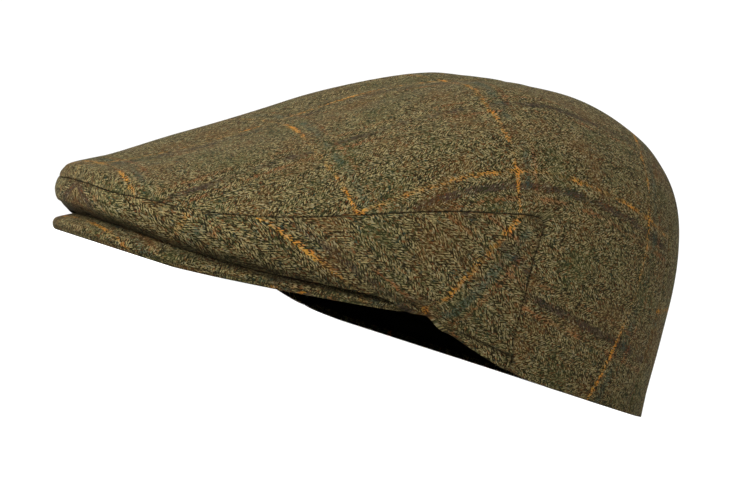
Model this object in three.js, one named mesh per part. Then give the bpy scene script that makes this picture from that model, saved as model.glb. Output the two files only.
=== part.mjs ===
// Flat cap in herringbone tweed. A domed top panel runs from the nose of the crown over the head and down
// to the nape, two side panels close the crown below it, a stiff peak juts out under the nose, and a
// sweatband lines the head opening. The cap stands on a table, on the tip of its peak and on its rim.
import * as THREE from "three";
import { LoftGeometry } from "three/addons/geometries/LoftGeometry.js";

// Driving dimensions in millimetres. +Z is up, the peak points along -Y and the wearer's left is +X.
const clothThickness = 2; // wall of the crown, tweed with its backing
const seamGap = 0.4; // between two panels that are sewn together
const seatGap = 0.4; // between pieces that lie on each other
const templeY = -48; // where the peak ends at the temples, ahead of the middle of the head
const templeLift = 12.5; // how high the rim arches off the table there
const templeFall = 70; // length behind the temple over which the rim comes down to the table
const templeCurve = 2.3; // power of the curve in which it comes down
const foreheadLift = 21; // height of the peak's inner edge in the middle of the forehead
const peakThickness = 6;
const peakEndThickness = 3;
const peakFlatY = -146; // ahead of this the peak's edge lies on the table
const peakPress = 0.4; // how far the padded edge is pressed flat there
const peakRise = 1.1; // power of the curve in which the peak's edge rises to the temple
const peakDroop = 1.6; // power of the curve in which the peak falls from the forehead to its edge
const sideSeamTurn = 88.5; // degrees round from the front to the foot of the upright seam above the ear
const sideSeamLean = 1.6; // degrees by which its head leans to the front
const sideSeamReach = { ahead: 45, behind: 140 }; // degrees between which the cloth leans with it
const sweatbandHeight = 30;
const sweatbandThickness = 1.2;
const sweatbandInset = 0.5; // from the peak's inner edge, and the crown's wall, to the band

// Along the peak, shares of the way from its middle to the temple: where its ends are cut, where they are
// tucked in behind the rim and how far, and where the crown's lower edge, set back by an inset in the
// middle, closes with the peak's edge and then becomes the rim.
const peakEnd = 0.96;
const peakTuck = { by: 2.9, from: 0.84, to: 0.94 };
const noseInset = { by: 8.5, from: 0.1, to: 0.95 };
const rimFrom = 0.9;

// Outlines in plan: reach ahead of and behind the middle of the head, half width, and squareness of
// each half, where 2 is an ellipse.
const rimOutline = { front: 164, back: 100, half: 85, frontSquare: 2.3, backSquare: 2.1 };
const headOutline = { front: 104, back: 95.5, half: 81.5, frontSquare: 2.5, backSquare: 2.1 };
const sweatbandTop = { front: 102, back: 90.5, half: 81.5, frontSquare: 2.4, backSquare: 2.1 };

// The crease in the side panels runs back from the temple between these turns, in degrees. It rises from
// the rim, and the cloth above it hangs over the cloth below it by a share of the crease's depth.
const crease = { begin: 69, full: 75, fade: 78, end: 88, riseAtTemple: 1.2, riseAtBack: 7, depth: 2 };
const creaseLip = { height: 4, shareAtFront: 0.4, growsFrom: 40, overhang: 0.6, highest: 0.9 };

// The sweatband's lower edge stands above the rim by this much beside the ears, and by a share of it at the
// nape. It rises from a share of the way to the temple up to a turn in degrees, and sinks from a later one.
const sweatbandLift = { height: 7, begin: 0.8, full: 85, fade: 100, shareAtBack: 0.3 };

// Rings of the crown above the crease, each an outline with its height at the front, side and back. even is
// 1 where a ring comes down from the side to the front evenly, and 0 where it dips early and then runs level.
const crownRings = [
  { name: "bulge", front: 165.5, back: 95, half: 89.5, frontSquare: 2.4, backSquare: 2.1,
    frontZ: 15.5, sideZ: 34, backZ: 34, even: 0 },
  { name: "seam", front: 165.5, back: 92, half: 87, frontSquare: 2.4, backSquare: 2.1,
    frontZ: 21, sideZ: 62, backZ: 65, even: 0 },
  { name: "shoulder", front: 163.5, back: 86, half: 73, frontSquare: 2.4, backSquare: 2.1,
    frontZ: 28, sideZ: 88, backZ: 90, even: 0.1 },
  { name: "brow", front: 124, back: 71, half: 50, frontSquare: 2.1, backSquare: 2,
    frontZ: 47, sideZ: 104.5, backZ: 108, even: 1 },
  { name: "crest", front: 56, back: 44, half: 28.5, frontSquare: 2, backSquare: 2,
    frontZ: 88.5, sideZ: 112, backZ: 115.5, even: 1 },
];
const apex = new THREE.Vector3(0, 8, 115.2);
const earlyDip = 1.6; // powers of the two curves between which even chooses
const evenDip = 1.25;

// Places of the rims and rings on a line up the crown: the rim, the crease, its lip, then the rings.
const rimLevel = 0;
const seamLevel = 4;
const apexLevel = 3 + crownRings.length;
const rowsBelowSeam = 10;
const rowsAboveSeam = 12;

// Columns round the crown: degrees from the front, and how many columns lead there from the row before.
const columnSpans = [
  { to: 60, columns: 12 },
  { to: 80, columns: 10 },
  { to: sideSeamTurn, columns: 2 },
  { to: 180, columns: 18 },
];

const degree = Math.PI / 180;
const probe = 1e-3;
const mix = THREE.MathUtils.lerp;
const ease = THREE.MathUtils.smoothstep;

// A point of an outline, turn being 0 at the front and a quarter turn at the wearer's left.
function outlinePoint(outline, turn, inset = 0) {
  const ahead = Math.cos(turn);
  const aside = Math.sin(turn);
  const power = 2 / (ahead > 0 ? outline.frontSquare : outline.backSquare);
  const reach = ahead > 0 ? -outline.front : outline.back;
  const point = new THREE.Vector3(
    outline.half * Math.sign(aside) * Math.abs(aside) ** power,
    reach * Math.sign(Math.abs(ahead)) * Math.abs(ahead) ** power,
    0,
  );
  if (inset === 0) return point;
  const along = outlinePoint(outline, turn + probe).sub(outlinePoint(outline, turn - probe)).normalize();
  return point.add(new THREE.Vector3(-along.y, along.x, 0).multiplyScalar(inset));
}

// The turn at which the front half of an outline passes a given place along Y.
function turnAt(outline, y) {
  return Math.acos((-y / outline.front) ** (outline.frontSquare / 2));
}

const rimTemple = turnAt(rimOutline, templeY);
const headTemple = turnAt(headOutline, templeY);

// Turn away from the front, from 0 to half a turn on either side.
function turnAway(turn) {
  return Math.abs(Math.atan2(Math.sin(turn), Math.cos(turn)));
}

// Height of the cap's lower edge: the peak's edge rises from the table to the temple, and the rim comes
// down again behind it.
function edgeHeight(y) {
  if (y > templeY) return templeLift * Math.max(0, 1 - (y - templeY) / templeFall) ** templeCurve;
  return templeLift * Math.max(0, (y - peakFlatY) / (templeY - peakFlatY)) ** peakRise;
}

// A cross-section of the peak, across being -1 at the right temple and +1 at the left one.
function peakSection(across) {
  const inner = outlinePoint(headOutline, across * headTemple);
  const outer = outlinePoint(rimOutline, across * rimTemple);
  const out = outer.clone().sub(inner);
  const tuck = peakTuck.by * ease(Math.abs(across), peakTuck.from, peakTuck.to);
  const thickness = mix(peakThickness, peakEndThickness, across ** 4);
  const section = {
    inner,
    full: out.length(),
    width: out.length() - tuck,
    out: out.normalize(),
    thickness,
    innerZ: mix(foreheadLift, templeLift + thickness / 2, across ** 2),
    edgeZ: edgeHeight(outer.y) + thickness / 2 - peakPress,
  };
  return section;
}

// A point of the peak at a distance out from the forehead, raised square to its middle surface.
function peakPoint(section, distance, raise) {
  const reach = section.width - section.thickness / 2;
  const share = Math.min(distance / reach, 1);
  const fall = section.edgeZ - section.innerZ;
  const slope = (fall * peakDroop * share ** (peakDroop - 1)) / reach;
  const square = 1 / Math.hypot(1, slope);
  const point = section.inner.clone().addScaledVector(section.out, distance - raise * slope * square);
  point.z = section.innerZ + fall * share ** peakDroop + raise * square;
  return point;
}

// The crown's lower edge: it lies on the peak at the front and is the open rim behind the temples.
function hemPoint(turn, inset = 0) {
  const away = turnAway(turn);
  const rim = outlinePoint(rimOutline, turn, inset);
  rim.z = edgeHeight(outlinePoint(rimOutline, turn).y);
  if (away >= rimTemple) return rim;
  const across = (Math.sin(turn) < 0 ? -away : away) / rimTemple;
  const section = peakSection(across);
  const back = noseInset.by * (1 - ease(Math.abs(across), noseInset.from, noseInset.to)) + inset;
  const seat = peakPoint(section, section.full - back, section.thickness / 2 + seatGap);
  return seat.lerp(rim, ease(Math.abs(across), rimFrom, 1));
}

// The crease above the rim and the lip that hangs over it. Where there is no crease both follow the wall,
// which bends from the rim to the first ring.
function creasePoints(turn) {
  const away = turnAway(turn) / degree;
  const hem = hemPoint(turn);
  const bulge = ringPoint(crownRings[0], turn);
  const wall = bulge.clone().sub(hem);
  const outward = new THREE.Vector3(Math.sin(turn), -Math.cos(turn), 0);
  const rise = mix(crease.riseAtTemple, crease.riseAtBack, ease(away, crease.begin, crease.end));
  const lipGrowth = ease(away, creaseLip.growsFrom, crease.full);
  const lip = rise + creaseLip.height * mix(creaseLip.shareAtFront, 1, lipGrowth);
  const fold = crease.depth * ease(away, crease.begin, crease.full) * (1 - ease(away, crease.fade, crease.end));
  return [[rise, -fold], [lip, creaseLip.overhang * fold]].map(([height, push]) => {
    const share = Math.min(height / wall.z, creaseLip.highest);
    const bend = Math.sin((share * Math.PI) / 2);
    const point = hem.clone().add(new THREE.Vector3(wall.x * bend, wall.y * bend, wall.z * share));
    return point.addScaledVector(outward, push);
  });
}

function ringPoint(ring, turn) {
  const ahead = Math.cos(turn);
  const point = outlinePoint(ring, turn);
  if (ahead > 0) {
    const dip = mix(Math.sin((ahead * Math.PI) / 2) ** earlyDip, ahead ** evenDip, ring.even);
    point.z = mix(ring.sideZ, ring.frontZ, dip);
  } else {
    point.z = mix(ring.sideZ, ring.backZ, ahead ** 2);
  }
  return point;
}

// The crown's outer face at a turn, as a curve from the rim over the rings and the apex to the far side.
function meridian(turn) {
  const rings = crownRings.map((ring) => ringPoint(ring, turn));
  const beyond = ringPoint(crownRings.at(-1), turn + Math.PI);
  const places = [hemPoint(turn), ...creasePoints(turn), ...rings, apex, beyond];
  return new THREE.CatmullRomCurve3(places, false, "centripetal");
}

// A point of the crown's outer face, by its turn and its level on the line up the crown.
function crownPoint(turn, level) {
  return meridian(turn).getPoint(level / (apexLevel + 1));
}

function crownNormal(turn, level) {
  const safeLevel = THREE.MathUtils.clamp(level, probe, apexLevel - 0.05);
  const round = crownPoint(turn + probe, safeLevel).sub(crownPoint(turn - probe, safeLevel));
  const up = crownPoint(turn, safeLevel + probe).sub(crownPoint(turn, safeLevel - probe));
  return round.cross(up).normalize();
}

// Columns near the upright seam lean with it, and stand straight again at the front, back and apex.
function leaningTurn(turn, level) {
  const away = turnAway(turn) / degree;
  const ahead = ease(away, sideSeamReach.ahead, sideSeamTurn);
  const behind = ease(away, sideSeamTurn, sideSeamReach.behind);
  const near = ahead * (1 - behind);
  const high = ease(level, rimLevel, seamLevel) * (1 - ease(level, seamLevel, apexLevel));
  return turn - Math.sign(Math.sin(turn)) * sideSeamLean * degree * near * high;
}

// A corner of the crown's wall: its point on the outer face and the one behind it on the inner face.
function crownCorner(column, level) {
  const turn = leaningTurn(column, level);
  const outer = crownPoint(turn, level);
  if (level === rimLevel) return { outer, inner: hemPoint(turn, clothThickness) };
  const normal = level === apexLevel ? new THREE.Vector3(0, 0, 1) : crownNormal(turn, level);
  return { outer, inner: outer.clone().addScaledVector(normal, -clothThickness) };
}

// Turns a sheet of cells into a closed wall: the outer face, the inner face turned round, and a strip
// along every edge that only one cell uses.
function clothWall(corners, cells) {
  const inner = corners.length;
  const triangles = [];
  const edges = new Map();
  for (const cell of cells) {
    for (let k = 2; k < cell.length; k++) {
      triangles.push(cell[0], cell[k - 1], cell[k]);
      triangles.push(inner + cell[0], inner + cell[k], inner + cell[k - 1]);
    }
    cell.forEach((from, k) => {
      const to = cell[(k + 1) % cell.length];
      if (!edges.delete(to + "_" + from)) edges.set(from + "_" + to, [from, to]);
    });
  }
  for (const [from, to] of edges.values()) {
    triangles.push(to, from, inner + from, to, inner + from, inner + to);
  }
  const points = [...corners.map((corner) => corner.outer), ...corners.map((corner) => corner.inner)];
  const geometry = new THREE.BufferGeometry().setFromPoints(points);
  geometry.setIndex(triangles);
  geometry.computeVertexNormals();
  return geometry;
}

// Turns of the columns on the wearer's left, from the front to the back.
const columnTurns = [0];
for (const span of columnSpans) {
  const from = columnTurns.at(-1);
  for (let k = 1; k <= span.columns; k++) columnTurns.push(mix(from, span.to * degree, k / span.columns));
}
const backColumn = columnTurns.length - 1;
const seamColumn = backColumn - columnSpans.at(-1).columns;

// Levels of the rows from the rim to the apex, the seam being one of them.
const rowLevels = [];
for (let k = 0; k < rowsBelowSeam; k++) rowLevels.push(mix(rimLevel, seamLevel, k / rowsBelowSeam));
for (let k = 0; k <= rowsAboveSeam; k++) rowLevels.push(mix(seamLevel, apexLevel, k / rowsAboveSeam));
const seamRow = rowsBelowSeam;
const apexRow = rowLevels.length - 1;

// The turn, and the level, that move a point of the crown by a length.
function turnStep(turn, level, length) {
  return (length * probe) / crownPoint(turn, level).distanceTo(crownPoint(turn + probe, level));
}

function levelStep(turn, level, length) {
  return (length * probe) / crownPoint(turn, level).distanceTo(crownPoint(turn, level + probe));
}

// A side panel, from the middle of the front to the upright seam; side is +1 for the wearer's left.
function sidePanelGeometry(side) {
  const corners = [];
  const cells = [];
  for (let i = 0; i <= seamColumn; i++) {
    for (let j = 0; j <= seamRow; j++) {
      let turn = columnTurns[i];
      let level = rowLevels[j];
      if (i === 0) turn += turnStep(turn, level, seamGap / 2);
      if (i === seamColumn) turn -= turnStep(turn, level, seamGap / 2);
      if (j === seamRow) level -= levelStep(turn, level, seamGap / 2);
      corners.push(crownCorner(side * turn, level));
      if (i === 0 || j === 0) continue;
      const here = corners.length - 1;
      const ahead = here - seamRow - 1;
      const cell = [ahead - 1, here - 1, here, ahead];
      cells.push(side > 0 ? cell : cell.reverse());
    }
  }
  return clothWall(corners, cells);
}

// The top panel: everything above the seam, and the back of the crown down to the rim.
function topPanelGeometry() {
  const columnCount = 2 * backColumn;
  const corners = [];
  const known = new Map();
  const cornerAt = (i, j) => {
    const column = i % columnCount;
    const key = j === apexRow ? "apex" : column + "_" + j;
    if (known.has(key)) return known.get(key);
    const side = column <= backColumn ? 1 : -1;
    const place = side > 0 ? column : columnCount - column;
    let turn = columnTurns[place];
    let level = rowLevels[j];
    if (place === seamColumn && j <= seamRow) turn += turnStep(turn, level, seamGap / 2);
    if (place <= seamColumn && j === seamRow) level += levelStep(turn, level, seamGap / 2);
    corners.push(crownCorner(side * turn, level));
    known.set(key, corners.length - 1);
    return corners.length - 1;
  };
  const cells = [];
  for (let i = 0; i < columnCount; i++) {
    const atBack = i >= seamColumn && i < columnCount - seamColumn;
    for (let j = atBack ? 0 : seamRow; j < apexRow; j++) {
      const cell = [cornerAt(i, j), cornerAt(i + 1, j), cornerAt(i + 1, j + 1), cornerAt(i, j + 1)];
      cells.push(j + 1 === apexRow ? cell.slice(0, 3) : cell);
    }
  }
  return clothWall(corners, cells);
}

// The peak: cross-sections from temple to temple, flat where its edge is pressed on the table.
function peakGeometry() {
  const sectionCount = 40;
  const shares = [0, 0.2, 0.4, 0.6, 0.8, 1];
  const edgeAngles = [60, 30, 0, -30, -60];
  const sections = [];
  for (let k = 0; k <= sectionCount; k++) {
    const section = peakSection(mix(-peakEnd, peakEnd, k / sectionCount));
    const half = section.thickness / 2;
    const reach = section.width - half;
    const top = shares.map((share) => peakPoint(section, share * reach, half));
    const bottom = shares.map((share) => peakPoint(section, share * reach, -half)).reverse();
    const middle = peakPoint(section, reach, 0);
    const up = top.at(-1).clone().sub(middle).normalize();
    const out = section.out.clone().multiplyScalar(up.z).add(new THREE.Vector3(0, 0, -up.dot(section.out)));
    const edge = edgeAngles.map((angle) => middle.clone()
      .addScaledVector(up, half * Math.sin(angle * degree))
      .addScaledVector(out, half * Math.cos(angle * degree)));
    const ring = [...top, ...edge, ...bottom];
    for (const point of ring) point.z = Math.max(point.z, 0);
    sections.push(ring);
  }
  return new LoftGeometry(sections, { capStart: true, capEnd: true });
}

// The sweatband: a ring that stands along the forehead behind the peak and leans on the crown's wall.
function sweatbandGeometry() {
  const steps = 60;
  const sections = [];
  for (let k = 0; k <= steps; k++) {
    const turn = (k / steps) * 2 * Math.PI;
    const away = turnAway(turn);
    const front = peakSection(Math.min(away / headTemple, 1));
    const head = outlinePoint(headOutline, turn);
    const grown = ease(away, headTemple * sweatbandLift.begin, sweatbandLift.full * degree);
    const faded = ease(away, sweatbandLift.fade * degree, Math.PI);
    const lift = sweatbandLift.height * grown * mix(1, sweatbandLift.shareAtBack, faded);
    const base = away < headTemple ? front.innerZ - front.thickness / 2 : edgeHeight(head.y);
    const bottomZ = base + lift;
    const ring = [];
    for (const [outline, z] of [[headOutline, bottomZ], [sweatbandTop, bottomZ + sweatbandHeight]]) {
      for (const depth of [0, sweatbandThickness]) {
        ring.push(outlinePoint(outline, turn, sweatbandInset + depth).setZ(z));
      }
    }
    const [bottomOuter, bottomInner, topOuter, topInner] = ring;
    sections.push([bottomInner, topInner, topOuter, bottomOuter]);
  }
  return new LoftGeometry(sections);
}

function namedMesh(name, geometry, colour, roughness) {
  const material = new THREE.MeshStandardMaterial({ color: colour, roughness, metalness: 0 });
  const mesh = new THREE.Mesh(geometry, material);
  mesh.name = name;
  return mesh;
}

const tweedColour = 0x58512f;
const cap = new THREE.Group();
cap.add(namedMesh("top_panel", topPanelGeometry(), tweedColour, 0.95));
cap.add(namedMesh("side_panel_left", sidePanelGeometry(1), tweedColour, 0.95));
cap.add(namedMesh("side_panel_right", sidePanelGeometry(-1), tweedColour, 0.95));
cap.add(namedMesh("peak", peakGeometry(), tweedColour, 0.95));
cap.add(namedMesh("sweatband", sweatbandGeometry(), 0x2a1c17, 0.6));

// The origin is on the table, under the middle of the cap's length.
cap.position.y = -new THREE.Box3().setFromObject(cap).getCenter(new THREE.Vector3()).y;

export default cap;
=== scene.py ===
# Looks of the flat cap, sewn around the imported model
import math
import bmesh
import bpy
from mathutils import Matrix, Vector
from mathutils.bvhtree import BVHTree


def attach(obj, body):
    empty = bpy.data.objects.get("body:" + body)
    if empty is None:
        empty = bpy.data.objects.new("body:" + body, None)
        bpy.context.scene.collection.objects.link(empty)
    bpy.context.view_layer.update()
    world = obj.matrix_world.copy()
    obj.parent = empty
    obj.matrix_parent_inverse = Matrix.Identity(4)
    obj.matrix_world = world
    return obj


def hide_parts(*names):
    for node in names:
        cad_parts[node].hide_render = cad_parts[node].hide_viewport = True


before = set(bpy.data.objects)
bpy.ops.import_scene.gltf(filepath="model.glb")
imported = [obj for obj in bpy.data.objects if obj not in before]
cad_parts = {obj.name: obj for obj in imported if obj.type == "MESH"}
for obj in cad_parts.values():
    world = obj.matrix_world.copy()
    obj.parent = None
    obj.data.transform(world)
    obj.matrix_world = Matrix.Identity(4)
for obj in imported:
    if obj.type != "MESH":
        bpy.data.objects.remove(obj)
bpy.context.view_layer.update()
mm = 0.001
smoothTurn = math.radians(40)  # faces that turn less than this belong to one skin
fanEdges = 16  # a point with more edges than this is the middle of a fan


# Small helpers for pieces

def newPiece(name, bm, materials, nodeName):
    mesh = bpy.data.meshes.new(name)
    bm.to_mesh(mesh)
    bm.free()
    piece = bpy.data.objects.new(name, mesh)
    bpy.context.scene.collection.objects.link(piece)
    for material in materials:
        mesh.materials.append(material)
    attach(piece, "root")
    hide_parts(nodeName)
    return piece


def mergedCopy(nodeName):
    bm = bmesh.new()
    bm.from_mesh(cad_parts[nodeName].data)
    bmesh.ops.remove_doubles(bm, verts=bm.verts, dist=0.002 * mm)
    bm.normal_update()
    return bm


# Brings back the grid of quads: each triangle has one edge of each of three kinds, and the kinds
# carry over from a triangle to its neighbour, so the diagonals can be told from one square corner
def joinToQuads(bm):
    fans = {f for f in bm.faces if max(len(v.link_edges) for v in f.verts) > fanEdges}
    unseen = set(bm.faces) - fans
    squareness = {f: min(abs(c.calc_angle() - math.pi / 2) for c in f.loops) for f in unseen}
    kind = {}
    while unseen:
        seed = min(unseen, key=lambda f: (round(squareness[f], 4), f.index))
        for k, edge in enumerate(sorted(seed.edges, key=lambda e: -e.calc_length())):
            kind.setdefault(edge, k)
        unseen.discard(seed)
        waiting = [seed]
        for face in waiting:
            for edge in face.edges:
                if len(edge.link_faces) != 2 or edge.calc_face_angle(math.pi) > smoothTurn:
                    continue
                other = next(f for f in edge.link_faces if f != face)
                if other not in unseen:
                    continue
                for near in other.edges:
                    if near not in kind:
                        farEnd = next(v for v in edge.verts if v not in near.verts)
                        kind[near] = next(kind[e] for e in face.edges if e != edge and farEnd in e.verts)
                unseen.discard(other)
                waiting.append(other)
    diagonals = [e for e in bm.edges if kind.get(e) == 0 and not set(e.link_faces) & fans]
    diagonals = [e for e in diagonals if e.calc_face_angle(math.pi) < smoothTurn]
    bmesh.ops.dissolve_edges(bm, edges=diagonals, use_verts=False, use_face_split=False)


# The outer face of a cloth wall: every face that is reached from the seed without a sharp turn
def outerSkin(nodeName, facing):
    bm = mergedCopy(nodeName)
    bm.faces.ensure_lookup_table()
    seed = max(bm.faces, key=lambda face: face.normal.dot(facing) * face.calc_area())
    kept = {seed}
    waiting = [seed]
    while waiting:
        face = waiting.pop()
        for edge in face.edges:
            if edge.calc_face_angle(math.pi) > smoothTurn:
                continue
            for other in edge.link_faces:
                if other not in kept:
                    kept.add(other)
                    waiting.append(other)
    dropped = [face for face in bm.faces if face not in kept]
    bmesh.ops.delete(bm, geom=dropped, context="FACES")
    joinToQuads(bm)
    return bm


# Where a point of a quad mesh ends up once it is subdivided
def settledPoint(vert):
    if vert.is_boundary:
        ends = [edge.other_vert(vert).co for edge in vert.link_edges if edge.is_boundary]
        return (ends[0] + 4 * vert.co + ends[1]) / 6
    if any(len(face.verts) != 4 for face in vert.link_faces):
        return vert.co.copy()
    count = len(vert.link_edges)
    total = vert.co * count * count
    for edge in vert.link_edges:
        total += 4 * edge.other_vert(vert).co
    for face in vert.link_faces:
        near = {vert} | {edge.other_vert(vert) for edge in vert.link_edges}
        total += next(v.co for v in face.verts if v not in near)
    return total / (count * (count + 5))


# Moves the points out by what subdividing takes away, so the smooth cloth keeps the model's shape
def holdShape(bm, rounds=4, share=0.8):
    wanted = {vert: vert.co.copy() for vert in bm.verts}
    for _ in range(rounds):
        settled = {vert: settledPoint(vert) for vert in bm.verts}
        for vert in bm.verts:
            vert.co += (wanted[vert] - settled[vert]) * share


# Lifts the rim by as much as the thickness of the cloth leans down there
def clearFloor(bm):
    bm.normal_update()
    for vert in bm.verts:
        lowest = max(vert.normal.z, 0) * wall["thickness"] + wall["clear"]
        if vert.is_boundary and vert.co.z < lowest:
            vert.co.z = lowest


# Lays the cloth of a piece flat at its real size in metres, turned so that up on the piece is up
def layFlat(piece, upOf, weaveOf):
    mesh = piece.data
    mesh.uv_layers.new(name="weave")
    bpy.ops.object.select_all(action="DESELECT")
    piece.select_set(True)
    bpy.context.view_layer.objects.active = piece
    bpy.ops.object.mode_set(mode="EDIT")
    bpy.ops.mesh.select_all(action="SELECT")
    bpy.ops.uv.unwrap(method="MINIMUM_STRETCH", iterations=60, no_flip=True)
    bpy.ops.object.mode_set(mode="OBJECT")
    places = mesh.uv_layers["weave"].data
    realArea = sum(face.area for face in mesh.polygons)
    flatArea = 0
    for face in mesh.polygons:
        corners = [places[k].uv for k in face.loop_indices]
        for a, b in zip(corners, corners[1:] + corners[:1]):
            flatArea += 0.5 * (a.x * b.y - b.x * a.y)
    growth = math.sqrt(realArea / abs(flatArea))
    flip = -1 if flatArea < 0 else 1
    spots = {}
    for loop in mesh.loops:
        uv = places[loop.index].uv
        spots[loop.vertex_index] = Vector((uv.x * growth * flip, uv.y * growth))
    lean, middle = upOf(mesh, spots)
    turn = Matrix.Rotation(math.pi / 2 - math.atan2(lean.y, lean.x), 2)
    for loop in mesh.loops:
        uv = places[loop.index].uv
        spot = Vector((uv.x * growth * flip, uv.y * growth))
        places[loop.index].uv = weaveOf(turn @ (spot - middle))
    print("laid flat", piece.name, "area", round(realArea * 1e4, 1), "cm2")


def easeBetween(value, low, high):
    share = min(max((value - low) / (high - low), 0), 1)
    return share * share * (3 - 2 * share)


def addModifier(piece, kind, **settings):
    modifier = piece.modifiers.new(kind.title(), kind)
    for name, value in settings.items():
        setattr(modifier, name, value)
    return modifier


# Materials

def plainMaterial(name, colour, roughness):
    material = bpy.data.materials.new(name)
    material.use_nodes = True
    shader = material.node_tree.nodes["Principled BSDF"]
    shader.inputs["Base Color"].default_value = (*colour, 1)
    shader.inputs["Roughness"].default_value = roughness
    return material


def linear(red, green, blue):
    parts = []
    for part in (red, green, blue):
        part /= 255
        parts.append(part / 12.92 if part <= 0.04045 else ((part + 0.055) / 1.055) ** 2.4)
    return (*parts, 1)


# Builds a shader node group from short calls, each of which gives back a socket
class Recipe:
    def __init__(self, name, takes, gives):
        self.tree = bpy.data.node_groups.new(name, "ShaderNodeTree")
        for label, kind in takes:
            self.tree.interface.new_socket(label, in_out="INPUT", socket_type=kind)
        for label, kind in gives:
            self.tree.interface.new_socket(label, in_out="OUTPUT", socket_type=kind)
        self.taken = self.tree.nodes.new("NodeGroupInput").outputs
        self.given = self.tree.nodes.new("NodeGroupOutput").inputs

    def put(self, socket, value):
        if isinstance(value, bpy.types.NodeSocket):
            self.tree.links.new(value, socket)
        else:
            socket.default_value = value

    def calc(self, operation, *values):
        node = self.tree.nodes.new("ShaderNodeMath")
        node.operation = operation
        for socket, value in zip(node.inputs, values):
            self.put(socket, value)
        return node.outputs[0]

    def span(self, value, low, high, fromValue=0.0, toValue=1.0):
        node = self.tree.nodes.new("ShaderNodeMapRange")
        node.interpolation_type = "SMOOTHSTEP"
        for socket, given in zip(node.inputs, (value, low, high, fromValue, toValue)):
            self.put(socket, given)
        return node.outputs[0]

    def mix(self, share, first, second):
        node = self.tree.nodes.new("ShaderNodeMix")
        node.data_type = "RGBA"
        self.put(node.inputs[0], share)
        self.put(node.inputs[6], first)
        self.put(node.inputs[7], second)
        return node.outputs[2]

    def scaled(self, vector, factors):
        node = self.tree.nodes.new("ShaderNodeVectorMath")
        node.operation = "MULTIPLY"
        self.put(node.inputs[0], vector)
        self.put(node.inputs[1], factors)
        return node.outputs[0]

    def joined(self, x, y, z):
        node = self.tree.nodes.new("ShaderNodeCombineXYZ")
        for socket, value in zip(node.inputs, (x, y, z)):
            self.put(socket, value)
        return node.outputs[0]

    def parts(self, vector):
        node = self.tree.nodes.new("ShaderNodeSeparateXYZ")
        self.put(node.inputs[0], vector)
        return node.outputs

    def noise(self, vector, scale, detail=2.0, roughness=0.5):
        node = self.tree.nodes.new("ShaderNodeTexNoise")
        self.put(node.inputs["Vector"], vector)
        node.inputs["Scale"].default_value = scale
        node.inputs["Detail"].default_value = detail
        node.inputs["Roughness"].default_value = roughness
        return node.outputs[0]

    def luck(self, vector):
        node = self.tree.nodes.new("ShaderNodeTexWhiteNoise")
        self.put(node.inputs["Vector"], vector)
        return self.parts(node.outputs["Color"])


# How far a place is from the nearest of the lines that repeat every so many millimetres
def fromLine(recipe, place, at, period):
    shifted = recipe.calc("ADD", place, period * 50.5 - at)
    return recipe.calc("SUBTRACT", recipe.calc("MODULO", shifted, period), period / 2)


# Herringbone and check sizes in millimetres, and the colours of the wool
weave = {
    "band": 5.0, "pitch": 1.2, "float": 0.5, "wander": 0.8,
    "across": 75.2, "acrossAt": -50.0, "along": 45.7, "alongAt": 93.0,
    # shade is the colour mixed in for the seam lines, partly thread and partly painted shadow, and for
    # painted shade at the fold and under the crown
    "shade": linear(10, 8, 2), "dark": linear(22, 19, 9), "light": linear(122, 110, 73),
    "brown": linear(70, 43, 17), "green": linear(40, 46, 22), "orange": linear(172, 100, 26),
    "gold": linear(160, 118, 36), "rust": linear(104, 56, 27), "plum": linear(34, 24, 24),
    "teal": linear(24, 50, 46), "cream": linear(132, 122, 92),
}
toneShare = {"start": -0.11, "weft": 0.32, "relief": 0.14, "thread": 1.2, "heather": 2.8, "mottle": 0.6}
flecks = (
    {"colour": "brown", "from": 0, "to": 0.08, "share": 0.6},
    {"colour": "green", "from": 0.1, "to": 0.19, "share": 0.6},
    {"colour": "cream", "from": 0.2, "to": 0.24, "share": 0.5},
    {"colour": "rust", "from": 0.3, "to": 0.33, "share": 0.4},
    {"colour": "teal", "from": 0.4, "to": 0.43, "share": 0.45},
)
# Check lines, each at a distance from its repeat; every other group along is a strong one
overcheck = (
    {"colour": "plum", "runs": "along", "at": 0, "halfWidth": 1.6, "share": 0.8, "breaks": 0.5},
    {"colour": "teal", "runs": "across", "at": 5.5, "halfWidth": 1.5, "share": 0.5, "breaks": 0.5},
    {"colour": "rust", "runs": "across", "at": 9.5, "halfWidth": 0.8, "share": 0.45, "breaks": 0.53},
    {"colour": "rust", "runs": "along", "at": -6, "halfWidth": 0.8, "share": 0.4, "breaks": 0.53,
     "only": "weak"},
    {"colour": "rust", "runs": "along", "at": 5, "halfWidth": 0.85, "share": 0.5, "breaks": 0.53},
    {"colour": "amber", "runs": "along", "at": -6, "halfWidth": 0.8, "share": 0.6, "breaks": 0.55,
     "only": "strong"},
    {"colour": "amber", "runs": "across", "at": 0, "halfWidth": 0.8, "share": 0.68, "breaks": 0.52},
)


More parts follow.
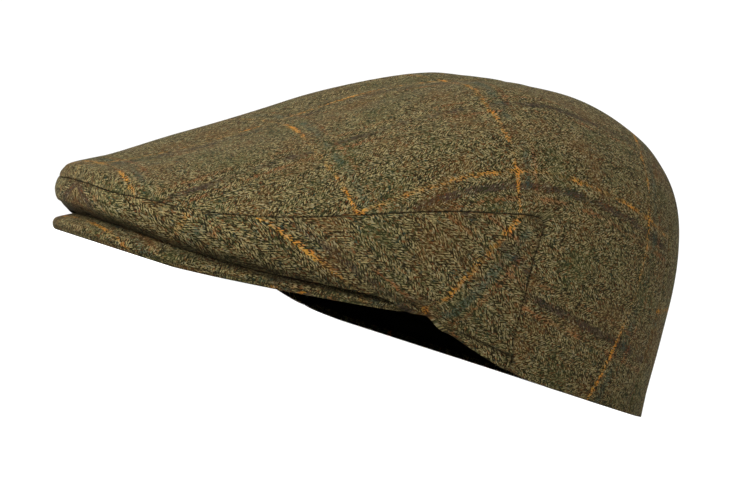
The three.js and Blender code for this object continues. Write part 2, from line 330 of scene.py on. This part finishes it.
def tweedRecipe():
    takes = [("Weave", "NodeSocketVector"), ("Seam", "NodeSocketFloat"), ("TuckShade", "NodeSocketFloat")]
    gives = [("Colour", "NodeSocketColor"), ("Height", "NodeSocketFloat")]
    r = Recipe("tweedWeave", takes, gives)
    flat = r.scaled(r.taken[0], (1000, 1000, 1000))
    u, v, _ = r.parts(flat)
    # herringbone: twill lines that turn back at each band, cut into the floats of single threads
    wander = r.calc("MULTIPLY", r.calc("SUBTRACT", r.noise(flat, 0.5, 3), 0.5), weave["wander"])
    across = r.calc("ADD", u, wander)
    folded = r.calc("PINGPONG", across, weave["band"])
    phase = r.calc("DIVIDE", r.calc("ADD", r.calc("ADD", v, folded), wander), weave["pitch"] / 2)
    row = r.calc("FLOOR", phase)
    within = r.calc("PINGPONG", r.calc("MULTIPLY", phase, 2), 1)
    slide = r.calc("ADD", r.calc("DIVIDE", across, weave["float"]), r.calc("MULTIPLY", row, 0.37))
    luck = r.luck(r.joined(row, r.calc("FLOOR", slide), 0))
    weft = r.calc("MODULO", r.calc("ADD", row, 4000), 2)
    # wool: each float has a tone of its own, under fine heather, mottling and a slow drift of hue
    heather = r.noise(flat, 2.0, 3, 0.7)
    mottle = r.noise(flat, 0.22, 3, 0.6)
    drift = r.noise(flat, 0.04, 2)
    tone = r.calc("ADD", toneShare["start"], r.calc("MULTIPLY", weft, toneShare["weft"]))
    for name, value in (("thread", luck[0]), ("heather", heather), ("mottle", mottle)):
        around = r.calc("SUBTRACT", value, 0.5)
        tone = r.calc("ADD", tone, r.calc("MULTIPLY", around, toneShare[name]))
    tone = r.calc("ADD", tone, r.calc("MULTIPLY", within, toneShare["relief"]))
    colour = r.mix(tone, weave["dark"], weave["light"])
    colour = r.mix(r.span(drift, 0.5, 0.7, 0, 0.3), colour, weave["brown"])
    colour = r.mix(r.span(drift, 0.5, 0.3, 0, 0.35), colour, weave["green"])
    for fleck in flecks:
        above = r.calc("GREATER_THAN", luck[1], fleck["from"])
        chosen = r.calc("MULTIPLY", above, r.calc("LESS_THAN", luck[1], fleck["to"]))
        colour = r.mix(r.calc("MULTIPLY", chosen, fleck["share"]), colour, weave[fleck["colour"]])
    # overcheck: lines across, and groups of lines along, that show only where their thread floats
    gaps = r.noise(flat, 0.06, 3, 0.7)
    rough = r.calc("MULTIPLY", r.calc("SUBTRACT", luck[2], 0.5), 1.3)
    dots = r.span(luck[0], 0.3, 0.6)
    aside = fromLine(r, v, weave["acrossAt"], weave["across"])
    beside = fromLine(r, u, weave["alongAt"], weave["along"])
    strong = r.calc("ABSOLUTE", fromLine(r, u, weave["alongAt"], 2 * weave["along"]))
    strong = r.calc("LESS_THAN", strong, weave["along"] / 2)
    shown = {"strong": strong, "weak": r.calc("SUBTRACT", 1, strong)}
    places = {"across": aside, "along": beside}
    amber = r.mix(luck[2], weave["orange"], weave["gold"])
    for stripe in overcheck:
        place = r.calc("ADD", places[stripe["runs"]], rough)
        near = r.calc("ABSOLUTE", r.calc("SUBTRACT", place, stripe["at"]))
        line = r.span(near, stripe["halfWidth"] * 1.25, stripe["halfWidth"] * 0.75)
        broken = r.span(gaps, stripe["breaks"] - 0.1, stripe["breaks"] + 0.1, 0.12, 1)
        line = r.calc("MULTIPLY", r.calc("MULTIPLY", line, dots), broken)
        line = r.calc("MULTIPLY", line, stripe["share"])
        if "only" in stripe:
            line = r.calc("MULTIPLY", line, shown[stripe["only"]])
        thread = amber if stripe["colour"] == "amber" else weave[stripe["colour"]]
        colour = r.mix(line, colour, thread)
    # wool is darker along the seam lines, partly the dark thread and partly painted shadow, and gets
    # painted shade where it is tucked under
    colour = r.mix(r.span(r.taken[1], 0.7, 1, 0, 0.45), colour, weave["shade"])
    colour = r.mix(r.calc("MULTIPLY", r.taken[2], 0.8), colour, weave["shade"])
    height = r.calc("ADD", r.calc("MULTIPLY", within, 0.08), r.calc("MULTIPLY", heather, 0.8))
    height = r.calc("ADD", height, r.calc("MULTIPLY", luck[0], 0.25))
    r.put(r.given["Colour"], colour)
    r.put(r.given["Height"], height)
    return r.tree


weaveGroup = tweedRecipe()


def addWeave(nodes, links):
    place = nodes.new("ShaderNodeUVMap")
    place.uv_map = "weave"
    cloth = nodes.new("ShaderNodeGroup")
    cloth.node_tree = weaveGroup
    links.new(place.outputs[0], cloth.inputs["Weave"])
    for name, socket in (("sewn", "Seam"), ("tuck", "TuckShade")):
        mark = nodes.new("ShaderNodeAttribute")
        mark.attribute_name = name
        links.new(mark.outputs["Fac"], cloth.inputs[socket])
    return cloth


wool = {
    "Roughness": 0.92, "Specular IOR Level": 0.04, "Sheen Weight": 0.02, "Sheen Roughness": 0.5,
    "Sheen Tint": linear(170, 150, 110),
}
woolRelief = {"Strength": 0.7, "Distance": 0.35 * mm}


def tweedMaterial():
    material = bpy.data.materials.new("tweed")
    material.use_nodes = True
    nodes = material.node_tree.nodes
    links = material.node_tree.links
    shader = nodes["Principled BSDF"]
    cloth = addWeave(nodes, links)
    bump = nodes.new("ShaderNodeBump")
    for name, value in woolRelief.items():
        bump.inputs[name].default_value = value
    links.new(cloth.outputs["Colour"], shader.inputs["Base Color"])
    links.new(cloth.outputs["Height"], bump.inputs["Height"])
    links.new(bump.outputs[0], shader.inputs["Normal"])
    for name, value in wool.items():
        shader.inputs[name].default_value = value
    return material


# Inside, the tweed is turned in at the rim and a plain dark lining starts above it
def liningMaterial():
    material = plainMaterial("lining", (0, 0, 0), 0.7)
    nodes = material.node_tree.nodes
    links = material.node_tree.links
    cloth = addWeave(nodes, links)
    rim = nodes.new("ShaderNodeAttribute")
    rim.attribute_name = "rim"
    strip = nodes.new("ShaderNodeMapRange")
    strip.inputs["From Min"].default_value = 0.1
    strip.inputs["From Max"].default_value = 0.2
    blend = nodes.new("ShaderNodeMix")
    blend.data_type = "RGBA"
    blend.inputs[6].default_value = (0.012, 0.008, 0.006, 1)
    links.new(rim.outputs["Fac"], strip.inputs["Value"])
    links.new(strip.outputs[0], blend.inputs[0])
    links.new(cloth.outputs["Colour"], blend.inputs[7])
    links.new(blend.outputs[2], nodes["Principled BSDF"].inputs["Base Color"])
    nodes["Principled BSDF"].inputs["Specular IOR Level"].default_value = 0.1
    return material


tweed = tweedMaterial()
lining = liningMaterial()
bandCloth = plainMaterial("bandCloth", (0.018, 0.01, 0.008), 0.6)
bandCloth.node_tree.nodes["Principled BSDF"].inputs["Specular IOR Level"].default_value = 0.25
floorPaint = plainMaterial("floorPaint", (0.95, 0.95, 0.95), 0.9)
print("materials", [material.name for material in (tweed, lining, bandCloth, floorPaint)])

# Crown panels
wall = {"thickness": 2 * mm, "edgeRound": 0.8 * mm, "clear": 0.2 * mm}
# the tuck reach is how far from the peak the painted shade under the crown spreads
seam = {"reach": 2.5 * mm, "width": 2.0 * mm, "dip": 0.3 * mm, "creaseDip": 1.0 * mm, "tuckReach": 8 * mm,
        "fade": (-130 * mm, -100 * mm),  # the long seam hardly shows round the nose
        "panelLevel": 25 * mm,  # open edges above this are all sewn to another panel
        "frontJoin": 3 * mm}  # half the width of the join between the side panels


def nodeTree(nodeName):
    bm = mergedCopy(nodeName)
    tree = BVHTree.FromBMesh(bm)
    bm.free()
    return tree


nodeTrees = {name: nodeTree(name) for name in ("top_panel", "side_panel_left", "side_panel_right", "peak")}


# Turns the cloth in along its sewn edges, from a row of points cut beside them; the crown rolls in
# deeper where it sits on the peak
# It also marks the sewn edges for a dark seam line, partly thread and partly painted shadow
def dipSeams(bm, nodeName):
    for layerName in ("rim", "sewn", "tuck"):
        bm.verts.layers.float.new(layerName)
    rimLayer, sewnLayer, tuckLayer = (bm.verts.layers.float[name] for name in ("rim", "sewn", "tuck"))
    dips = {}
    for otherName, tree in nodeTrees.items():
        if otherName == nodeName or (otherName[:4] == "side" and nodeName[:4] == "side"):
            continue
        dip = seam["creaseDip"] if otherName == "peak" else seam["dip"]
        for vert in bm.verts:
            high = vert.co.z > seam["panelLevel"]
            if vert.is_boundary and (high or tree.find_nearest(vert.co, seam["reach"])[0]):
                dips[vert] = seam["dip"] if high else dip
    cut = []
    for edge in bm.edges[:]:
        ends = [v for v in edge.verts if v.is_boundary]
        if len(ends) == 1 and ends[0] in dips:
            share = min(seam["width"] / edge.calc_length(), 0.4)
            cut.append(bmesh.utils.edge_split(edge, ends[0], share)[1])
    fresh = set(cut)
    for face in bm.faces[:]:
        pair = [v for v in face.verts if v in fresh]
        if len(pair) == 2:
            bmesh.utils.face_split(face, pair[0], pair[1])
    bm.normal_update()
    for vert in bm.verts:
        # dark seam line: partly thread, partly painted shadow
        vert[sewnLayer] = vert in dips
        if dips.get(vert) == seam["dip"]:
            vert[sewnLayer] = easeBetween(vert.co.y, *seam["fade"])
        vert[rimLayer] = vert.is_boundary and vert not in dips and abs(vert.co.x) > seam["frontJoin"]
        # painted shade on the crown's underside close to the peak, where the crown folds over it
        away = nodeTrees["peak"].find_nearest(vert.co, seam["tuckReach"])[3]
        if away is not None:
            closeness = easeBetween(seam["tuckReach"] - away, 0, 0.75 * seam["tuckReach"])
            vert[tuckLayer] = closeness * easeBetween(-vert.normal.z, 0.2, 0.7)
    moves = {vert: -vert.normal * dip for vert, dip in dips.items()}
    for vert, move in moves.items():
        vert.co += move
    print("sewn edge", nodeName, "points", len(dips), "cuts", len(cut))


# Fold in the side panel by the temple: three cuts, the middle one pressed in and given painted shade
fold = {"level": 10 * mm, "slope": 0.098, "from": (-12 * mm, 0), "halfWidth": 1.6 * mm, "depth": 1.5 * mm,
        "sewn": 1.45, "tuck": 0.8}


def pressFold(bm):
    sewnLayer, tuckLayer = (bm.verts.layers.float[name] for name in ("sewn", "tuck"))
    across = Vector((0, fold["slope"], 1)).normalized()
    for offset in (-fold["halfWidth"], fold["halfWidth"], 0):
        faces = [f for f in bm.faces if f.calc_center_median().y > fold["from"][0]]
        geom = faces + list({e for f in faces for e in f.edges}) + list({v for f in faces for v in f.verts})
        cut = bmesh.ops.bisect_plane(bm, geom=geom, dist=0.01 * mm, plane_no=across,
                                     plane_co=(0, 0, fold["level"] + offset))["geom_cut"]
    bm.normal_update()
    line = [v for v in cut if isinstance(v, bmesh.types.BMVert)]
    shares = {v: easeBetween(v.co.y, *fold["from"]) for v in line}
    moves = {v: -v.normal * fold["depth"] * share for v, share in shares.items()}
    for vert, move in moves.items():
        # painted shade along the fold line
        vert[sewnLayer] = fold["sewn"] * shares[vert]
        vert[tuckLayer] = max(vert[tuckLayer], fold["tuck"] * shares[vert])
        vert.co += move
    print("fold points", len(line))


def finishPanel(piece):
    addModifier(piece, "SUBSURF", levels=2, render_levels=2)
    addModifier(piece, "SOLIDIFY", thickness=wall["thickness"], offset=-1, material_offset=1,
                material_offset_rim=0, use_even_offset=True)
    addModifier(piece, "BEVEL", width=wall["edgeRound"], segments=3, limit_method="ANGLE",
                angle_limit=math.radians(50), profile=0.5)
    for face in piece.data.polygons:
        face.use_smooth = True


def topUp(mesh, spots):
    line = [v.index for v in mesh.vertices if abs(v.co.x) < 0.05 * mm]
    nose = min(line, key=lambda k: mesh.vertices[k].co.y)
    middle = min(line, key=lambda k: abs(mesh.vertices[k].co.y - crest["middle"][1]))
    return spots[middle] - spots[nose], spots[middle]


# The cloth is drawn back a little along the middle of the crown, which bows the lines across
bow = {"depth": 10 * mm, "width": 38 * mm}


def topWeave(spot):
    return Vector((spot.x, spot.y - bow["depth"] * math.exp(-(spot.x / bow["width"]) ** 2)))


# Back darts: the column of edges that climbs from the rim is split in two and its middle pushed in
dart = {"foot": (67 * mm, 98 * mm, 0), "top": 78 * mm, "halfWidth": 1.1 * mm, "depth": 0.9 * mm,
        "near": 0.3 * mm, "rimLevel": 3 * mm}


def climbFrom(bm, foot, top):
    rim = [v for v in bm.verts if v.is_boundary and v.co.z < dart["rimLevel"]]
    vert = min(rim, key=lambda v: (v.co - foot).length)
    edge = max(vert.link_edges, key=lambda e: e.other_vert(vert).co.z)
    climb = []
    while vert.co.z < top:
        climb.append(edge)
        vert = edge.other_vert(vert)
        edge = next(e for e in vert.link_edges if not set(e.link_faces) & set(edge.link_faces))
    return climb


# Presses a groove along a line of edges and marks its middle as a seam
def pressLine(bm, edges, halfWidth, depth):
    line = [(v.co.copy(), -v.normal) for v in {v for e in edges for v in e.verts}]
    bmesh.ops.bevel(bm, geom=edges, offset=halfWidth, offset_type="OFFSET", segments=2, profile=0.5,
                    affect="EDGES", material=-1, clamp_overlap=True)
    middle = set()
    for v in bm.verts:
        spot, inward = min(line, key=lambda near: (v.co - near[0]).length)
        if (v.co - spot).length < dart["near"]:
            middle.add(v)
            v.co += inward * depth
    for e in bm.edges:
        e.seam = e.seam or (e.verts[0] in middle and e.verts[1] in middle)
    print("groove with", len(middle), "middle points")


def sewDart(bm, side):
    foot = Vector((side * dart["foot"][0], dart["foot"][1], dart["foot"][2]))
    pressLine(bm, climbFrom(bm, foot, dart["top"]), dart["halfWidth"], dart["depth"])


crest = {"middle": (0, 53.7 * mm, 116 * mm), "reach": 42 * mm, "rounds": 6, "lastRounds": 2,
         "level": 0.75, "behind": -20 * mm}

# How the cloth stands over the plain model along the crown, from the nose to the nape, in millimetres
crownStand = ((-133, 1.6), (-129, 0.6), (-122, -1.5), (-110, -1.9), (-98, -1.0), (-85, -0.3),
              (-60, -0.7), (-46, -0.4), (-23, 1.3), (0, 2.2), (20, 2.5), (28, 1.8), (36, 1.4), (46, 0.9),
              (57, 1.1), (65, 1.6), (75, 1.6), (85, 1.0), (97, 0.2), (110, -0.7), (120, 0), (133, 0))
shoulder = {"place": (24 * mm, 32 * mm), "spread": (9 * mm, 10 * mm), "drop": 2.2 * mm}
standFade = {"level": (0.1, 0.5), "edge": 24 * mm}


def standOver(y):
    for (y0, stand0), (y1, stand1) in zip(crownStand, crownStand[1:]):
        if y <= y1 * mm:
            return (stand0 + (stand1 - stand0) * easeBetween(y, y0 * mm, y1 * mm)) * mm
    return 0


# The nose is round: its ridge is lower and its face further forward, on the top and side panels alike
roundness = {"aheadOf": -100 * mm, "above": 12 * mm, "ridgeAt": -125 * mm, "ridgeWidth": 30 * mm,
             "ridgeSpread": 6 * mm, "ridgeDrop": 2.6 * mm, "faceAt": 26 * mm, "faceSpread": 6 * mm,
             "facePush": 1.2 * mm, "faceFade": (112 * mm, 124 * mm)}


def roundNose(bm):
    for v in bm.verts:
        along = (v.co.y - roundness["ridgeAt"]) / roundness["ridgeSpread"]
        ridge = (v.co.x / roundness["ridgeWidth"]) ** 4 + along ** 2
        face = ((v.co.z - roundness["faceAt"]) / roundness["faceSpread"]) ** 2
        if v.co.y < roundness["aheadOf"] and v.co.z > roundness["above"]:
            v.co.z -= roundness["ridgeDrop"] * math.exp(-ridge)
            push = roundness["facePush"] * math.exp(-face)
            v.co.y -= push * easeBetween(-v.co.y, *roundness["faceFade"])


# Lets the cloth stand over the model on top, and rounds the shoulders beside the crest
def padCrown(bm):
    bm.normal_update()
    edge = [v.co.copy() for v in bm.verts if v.is_boundary]
    for v in bm.verts:
        away = min((v.co - spot).length for spot in edge)
        share = easeBetween(v.normal.z, *standFade["level"]) * easeBetween(away, 0, standFade["edge"])
        aside = (abs(v.co.x) - shoulder["place"][0]) / shoulder["spread"][0]
        along = (v.co.y - shoulder["place"][1]) / shoulder["spread"][1]
        v.co.z += (standOver(v.co.y) - shoulder["drop"] * math.exp(-aside ** 2 - along ** 2)) * share


topBm = outerSkin("top_panel", Vector((0, 0, 1)))
for _ in range(crest["rounds"]):
    nearCrest = [v for v in topBm.verts if (v.co - Vector(crest["middle"])).length < crest["reach"]]
    bmesh.ops.smooth_vert(topBm, verts=nearCrest, factor=0.5, use_axis_x=True, use_axis_y=True,
                          use_axis_z=True)
padCrown(topBm)
for _ in range(crest["lastRounds"]):
    nearCrest = [v for v in topBm.verts if v.normal.z > crest["level"] and not v.is_boundary]
    nearCrest = [v for v in nearCrest if v.co.y > crest["behind"]]
    bmesh.ops.smooth_vert(topBm, verts=nearCrest, factor=0.5, use_axis_x=False, use_axis_y=False,
                          use_axis_z=True)
roundNose(topBm)
clearFloor(topBm)
holdShape(topBm)
dipSeams(topBm, "top_panel")
for side in (1, -1):
    sewDart(topBm, side)
topPanel = newPiece("topPanel", topBm, [tweed, lining], "top_panel")
layFlat(topPanel, topUp, topWeave)
finishPanel(topPanel)


def sideUp(mesh, spots):
    middle = Vector((0, 0))
    height = 0
    for k, spot in spots.items():
        middle += spot / len(spots)
        height += mesh.vertices[k].co.z / len(spots)
    lean = Vector((0, 0))
    for k, spot in spots.items():
        lean += (spot - middle) * (mesh.vertices[k].co.z - height)
    return lean, middle


# The side panels are cut on the bias: how the weave runs on the flat cloth, and where it starts
bias = {"u": Vector((-0.56, 0.83)), "v": Vector((0.68, 0.385)), "start": Vector((-6 * mm, -88.7 * mm))}


def sideWeave(spot):
    return Vector((bias["u"].dot(spot), bias["v"].dot(spot))) + bias["start"]


# Both sides come from one panel, so that each is the exact mirror image of the other
for side, word in ((1, "Left"), (-1, "Right")):
    nodeName = "side_panel_" + word.lower()
    sideBm = outerSkin("side_panel_right", Vector((-1, 0, 0)))
    if side > 0:
        bmesh.ops.scale(sideBm, vec=(-1, 1, 1), verts=sideBm.verts)
        bmesh.ops.reverse_faces(sideBm, faces=sideBm.faces)
    roundNose(sideBm)
    clearFloor(sideBm)
    holdShape(sideBm)
    dipSeams(sideBm, nodeName)
    pressFold(sideBm)
    sidePanel = newPiece("sidePanel" + word, sideBm, [tweed, lining], nodeName)
    layFlat(sidePanel, sideUp, lambda spot: sideWeave(Vector((side * spot.x, spot.y))))
    finishPanel(sidePanel)


# Peak: one cover over the top and the edge, another below, sewn along the lower edge
def peakUp(mesh, spots):
    line = [v.index for v in mesh.vertices if abs(v.co.x) < 3 * mm and v.normal.z > 0.5]
    front = min(line, key=lambda k: mesh.vertices[k].co.y)
    back = max(line, key=lambda k: mesh.vertices[k].co.y)
    return spots[back] - spots[front], spots[front]


# the welt seam darkens as a line, partly of thread and partly painted shadow; the peak's top beside the
# crown gets painted shade
welt = {"depth": 0.25 * mm, "sewn": 1.3, "tuckReach": 5 * mm, "underLevel": -0.35,
        "corner": math.radians(50), "middle": Vector((0, -40 * mm)),
        "weaveAt": Vector((20 * mm, 20 * mm))}
peakBm = mergedCopy("peak")
joinToQuads(peakBm)
for layerName in ("sewn", "tuck"):
    peakBm.verts.layers.float.new(layerName)
sewnMarks, tuckMarks = (peakBm.verts.layers.float[name] for name in ("sewn", "tuck"))
weltPoints = set()
for edge in peakBm.edges:
    under = [face.normal.z < welt["underLevel"] for face in edge.link_faces]
    edge.seam = under[0] != under[1] or edge.calc_face_angle() > welt["corner"]
    middle = (edge.verts[0].co + edge.verts[1].co) / 2
    facing = sum((face.normal for face in edge.link_faces), Vector())
    outward = facing.xy.dot(middle.xy - welt["middle"])
    if under[0] != under[1] and outward > 0:
        weltPoints |= set(edge.verts)
peakBm.normal_update()
for vert in peakBm.verts:
    if vert in weltPoints:
        vert[sewnMarks] = welt["sewn"]
        vert.co -= vert.normal * welt["depth"]
    # painted shade on the peak's top close to the side panels
    for name in ("side_panel_left", "side_panel_right"):
        gap = nodeTrees[name].find_nearest(vert.co, welt["tuckReach"])[3]
        if gap is not None and vert.normal.z > 0.2:
            vert[tuckMarks] = easeBetween(welt["tuckReach"] - gap, 0, 0.8 * welt["tuckReach"])
print("welt points", len(weltPoints))
peak = newPiece("peakCloth", peakBm, [tweed], "peak")
layFlat(peak, peakUp, lambda spot: spot + welt["weaveAt"])
addModifier(peak, "SUBSURF", levels=2, render_levels=2)

# Sweatband: it starts a little above the rim, where the turned-in tweed shows below it
band = {"lift": 4.5 * mm, "edgeRound": 0.5 * mm}
bandBm = mergedCopy("sweatband")
joinToQuads(bandBm)
bandFoot = {v for f in bandBm.faces if f.normal.z < -0.7 for v in f.verts}
lifts = {}
for v in bandFoot:
    above = [e.other_vert(v).co for e in v.link_edges if e.other_vert(v) not in bandFoot]
    if above:
        rise = max(above, key=lambda spot: spot.z) - v.co
        lifts[v] = rise * min(band["lift"] / rise.length, 0.7)
for v, lift in lifts.items():
    v.co += lift
print("sweatband foot points", len(bandFoot), "lifted", len(lifts))
sweatband = newPiece("sweatbandCloth", bandBm, [bandCloth], "sweatband")
addModifier(sweatband, "BEVEL", width=band["edgeRound"], segments=3, limit_method="ANGLE",
            angle_limit=math.radians(50), profile=0.5)
for piece in (peak, sweatband):
    for face in piece.data.polygons:
        face.use_smooth = True

# Camera: the photograph's way round and tilt, just above the floor
view = {"azimuth": 60, "elevation": -1.22, "roll": 17.9, "distance": 1.47, "pixelsPerMm": 2.48,
        "middle": (0, 3.207 * mm, 52.5 * mm), "middlePixel": (394, 201.5), "frame": (732, 488)}


def placeCamera():
    azimuth = math.radians(view["azimuth"])
    elevation = math.radians(view["elevation"])
    away = Vector((math.sin(azimuth) * math.cos(elevation), -math.cos(azimuth) * math.cos(elevation),
                   math.sin(elevation)))
    right = Vector((math.cos(azimuth), math.sin(azimuth), 0))
    up = away.cross(right)
    roll = math.radians(view["roll"])
    rolledRight = right * math.cos(roll) + up * math.sin(roll)
    rolledUp = up * math.cos(roll) - right * math.sin(roll)
    width, height = view["frame"]
    perPixel = mm / view["pixelsPerMm"]
    aim = Vector(view["middle"])
    aim -= rolledRight * (view["middlePixel"][0] - width / 2) * perPixel
    aim += rolledUp * (view["middlePixel"][1] - height / 2) * perPixel
    cameraData = bpy.data.cameras.new("camera")
    camera = bpy.data.objects.new("camera", cameraData)
    bpy.context.scene.collection.objects.link(camera)
    cameraData.sensor_width = 36
    cameraData.lens = cameraData.sensor_width * view["distance"] * 1000 * view["pixelsPerMm"] / width
    cameraData.clip_start = 0.05
    cameraData.clip_end = 50
    turn = Matrix((rolledRight, rolledUp, away)).transposed().to_4x4()
    camera.matrix_world = Matrix.Translation(aim + away * view["distance"]) @ turn
    bpy.context.scene.camera = camera
    print("camera", round(camera.matrix_world.translation.z / mm, 1), "mm above the floor")


placeCamera()

# Floor that sweeps up into the backdrop all round
floor = {"flat": 5.0, "sweep": 2.5, "steps": 12, "top": 9.0, "sides": 64}


def makeFloor():
    bm = bmesh.new()
    start = bm.verts.new((0, 0, 0))
    points = [start]
    for k in range(floor["steps"] + 1):
        angle = math.pi / 2 * k / floor["steps"]
        reach = floor["flat"] + floor["sweep"] * math.sin(angle)
        rise = floor["sweep"] * (1 - math.cos(angle))
        points.append(bm.verts.new((reach, 0, rise)))
    points.append(bm.verts.new((floor["flat"] + floor["sweep"], 0, floor["top"])))
    edges = [bm.edges.new(pair) for pair in zip(points, points[1:])]
    bmesh.ops.spin(bm, geom=points + edges, cent=(0, 0, 0), axis=(0, 0, 1), angle=2 * math.pi,
                   steps=floor["sides"], use_merge=True)
    bmesh.ops.remove_doubles(bm, verts=bm.verts, dist=0.01 * mm)
    bmesh.ops.recalc_face_normals(bm, faces=bm.faces)
    mesh = bpy.data.meshes.new("floor")
    bm.to_mesh(mesh)
    bm.free()
    mesh.materials.append(floorPaint)
    ground = bpy.data.objects.new("floor", mesh)
    bpy.context.scene.collection.objects.link(ground)
    for face in mesh.polygons:
        face.use_smooth = True
    print("floor faces", len(mesh.polygons))


makeFloor()

# Light
lamps = {
    "key": {"place": (0.6, -2.1, 1.0), "size": 1.3, "power": 90},
    "top": {"place": (0.0, -0.9, 2.2), "size": 1.6, "power": 12},
}
lampAim = Vector((0, 0, 0.05))
skyStrength = 1.25
for name, lamp in lamps.items():
    lampData = bpy.data.lights.new(name, "AREA")
    lampData.energy = lamp["power"]
    lampData.size = lamp["size"]
    lampObject = bpy.data.objects.new(name, lampData)
    bpy.context.scene.collection.objects.link(lampObject)
    place = Vector(lamp["place"])
    lampObject.location = place
    lampObject.rotation_euler = (lampAim - place).to_track_quat("-Z", "Y").to_euler()

world = bpy.data.worlds.new("studio")
bpy.context.scene.world = world
world.use_nodes = True
world.node_tree.nodes["Background"].inputs["Color"].default_value = (1, 1, 1, 1)
world.node_tree.nodes["Background"].inputs["Strength"].default_value = skyStrength
bpy.context.scene.view_settings.view_transform = "Standard"
print("lamps", list(lamps))
